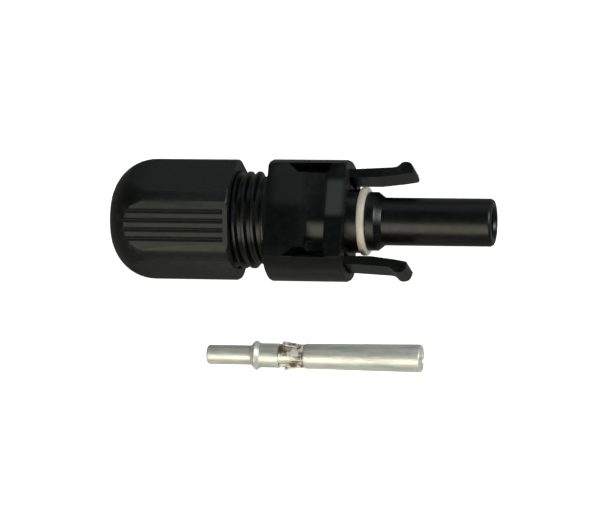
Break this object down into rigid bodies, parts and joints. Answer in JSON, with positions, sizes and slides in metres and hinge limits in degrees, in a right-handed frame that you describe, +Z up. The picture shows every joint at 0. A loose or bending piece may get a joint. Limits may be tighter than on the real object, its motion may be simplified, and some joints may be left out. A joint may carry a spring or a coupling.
{
  "type": "solar cable connector",
  "caption": "Latching plug half of a single-pole solar cable connector with gland nut, cable clamp and seals, and its loose crimp socket contact beside it.",
  "frame": {"origin": "on the plug's axis, in the plane of the body's front face, where the mating half stops", "axes": "+X along the plug's axis towards the nose, +Y towards the left latch arm, +Z up from the table it lies on"},
  "size_m": [0.0604, 0.032, 0.019],
  "materials": {
    "housing_plastic": "satin moulded black",
    "nut_plastic": "satin moulded black",
    "clamp_plastic": "satin moulded dark grey",
    "seal_rubber": "matte beige",
    "black_rubber": "matte black",
    "tin_plate": "tin-plated, semi-bright",
    "louvre_metal": "plain spring bronze",
    "spring_steel": "dark spring steel"
  },
  "bodies": {
    "housing": {"housing": "housing_plastic", "nose_seal": "seal_rubber", "cable_seal": "black_rubber"},
    "left_arm": {"latch_arm_left": "housing_plastic"},
    "right_arm": {"latch_arm_right": "housing_plastic"},
    "clamp": {"clamp_ring": "clamp_plastic"},
    "nut": {"gland_nut": "nut_plastic"},
    "finger_1": {"clamp_finger_1": "clamp_plastic"},
    "finger_2": {"clamp_finger_2": "clamp_plastic"},
    "finger_3": {"clamp_finger_3": "clamp_plastic"},
    "finger_4": {"clamp_finger_4": "clamp_plastic"},
    "finger_5": {"clamp_finger_5": "clamp_plastic"},
    "finger_6": {"clamp_finger_6": "clamp_plastic"},
    "finger_7": {"clamp_finger_7": "clamp_plastic"},
    "finger_8": {"clamp_finger_8": "clamp_plastic"},
    "contact": {"contact_body": "tin_plate", "contact_sleeve": "tin_plate", "contact_louvre": "louvre_metal", "retaining_clip": "spring_steel"},
    "barb_1": {"clip_barb_1": "spring_steel"},
    "barb_2": {"clip_barb_2": "spring_steel"}
  },
  "joints": [
    {"name": "left_arm_flex", "type": "hinge", "parent": "housing", "child": "left_arm", "pos_m": [-0.0084, 0.0069, 0], "axis": [0, 0, -1], "range_deg": [0, 3.5], "stiffness_Nm_per_rad": 0.3},
    {"name": "right_arm_flex", "type": "hinge", "parent": "housing", "child": "right_arm", "pos_m": [-0.0084, -0.0069, 0], "axis": [0, 0, 1], "range_deg": [0, 3.5], "stiffness_Nm_per_rad": 0.3},
    {"name": "gland_travel", "type": "slide", "parent": "housing", "child": "clamp", "axis": [1, 0, 0], "range_m": [-0.00601, 0.00376]},
    {"name": "nut_spin", "type": "hinge", "parent": "clamp", "child": "nut", "pos_m": [0, 0, 0], "axis": [1, 0, 0], "range_deg": [-1440, 900]},
    {"name": "finger_1_bend", "type": "hinge", "parent": "clamp", "child": "finger_1", "pos_m": [-0.0312, 0.0047, 0], "axis": [0, 0, -1], "range_deg": [-4.9, 3.1]},
    {"name": "finger_2_bend", "type": "hinge", "parent": "clamp", "child": "finger_2", "pos_m": [-0.0312, 0.00332, 0.00332], "axis": [0, 0.7071, -0.7071], "range_deg": [-4.9, 3.1]},
    {"name": "finger_3_bend", "type": "hinge", "parent": "clamp", "child": "finger_3", "pos_m": [-0.0312, 0, 0.0047], "axis": [0, 1, 0], "range_deg": [-4.9, 3.1]},
    {"name": "finger_4_bend", "type": "hinge", "parent": "clamp", "child": "finger_4", "pos_m": [-0.0312, -0.00332, 0.00332], "axis": [0, 0.7071, 0.7071], "range_deg": [-4.9, 3.1]},
    {"name": "finger_5_bend", "type": "hinge", "parent": "clamp", "child": "finger_5", "pos_m": [-0.0312, -0.0047, 0], "axis": [0, 0, 1], "range_deg": [-4.9, 3.1]},
    {"name": "finger_6_bend", "type": "hinge", "parent": "clamp", "child": "finger_6", "pos_m": [-0.0312, -0.00332, -0.00332], "axis": [0, -0.7071, 0.7071], "range_deg": [-4.9, 3.1]},
    {"name": "finger_7_bend", "type": "hinge", "parent": "clamp", "child": "finger_7", "pos_m": [-0.0312, 0, -0.0047], "axis": [0, -1, 0], "range_deg": [-4.9, 3.1]},
    {"name": "finger_8_bend", "type": "hinge", "parent": "clamp", "child": "finger_8", "pos_m": [-0.0312, 0.00332, -0.00332], "axis": [0, -0.7071, -0.7071], "range_deg": [-4.9, 3.1]},
    {"name": "contact_line_up", "type": "slide", "parent": "housing", "child": "contact", "axis": [-0.98, 0.1876, 0.067], "range_m": [0, 0.10715]},
    {"name": "barb_1_press", "type": "hinge", "parent": "contact", "child": "barb_1", "pos_m": [-0.0079, -0.01885, -0.00606], "axis": [0, -0.6691, 0.7431], "range_deg": [0, 9.5], "stiffness_Nm_per_rad": 0.01},
    {"name": "barb_2_press", "type": "hinge", "parent": "contact", "child": "barb_2", "pos_m": [-0.0079, -0.02135, -0.0083], "axis": [0, 0.6691, -0.7431], "range_deg": [0, 9.5], "stiffness_Nm_per_rad": 0.01}
  ],
  "couplings": [
    {"joint": "gland_travel", "follows": "nut_spin", "m_per_rad": 0.00023873},
    {"joint": "finger_1_bend", "follows": "nut_spin", "ratio": 0.0033333},
    {"joint": "finger_2_bend", "follows": "nut_spin", "ratio": 0.0033333},
    {"joint": "finger_3_bend", "follows": "nut_spin", "ratio": 0.0033333},
    {"joint": "finger_4_bend", "follows": "nut_spin", "ratio": 0.0033333},
    {"joint": "finger_5_bend", "follows": "nut_spin", "ratio": 0.0033333},
    {"joint": "finger_6_bend", "follows": "nut_spin", "ratio": 0.0033333},
    {"joint": "finger_7_bend", "follows": "nut_spin", "ratio": 0.0033333},
    {"joint": "finger_8_bend", "follows": "nut_spin", "ratio": 0.0033333}
  ]
}
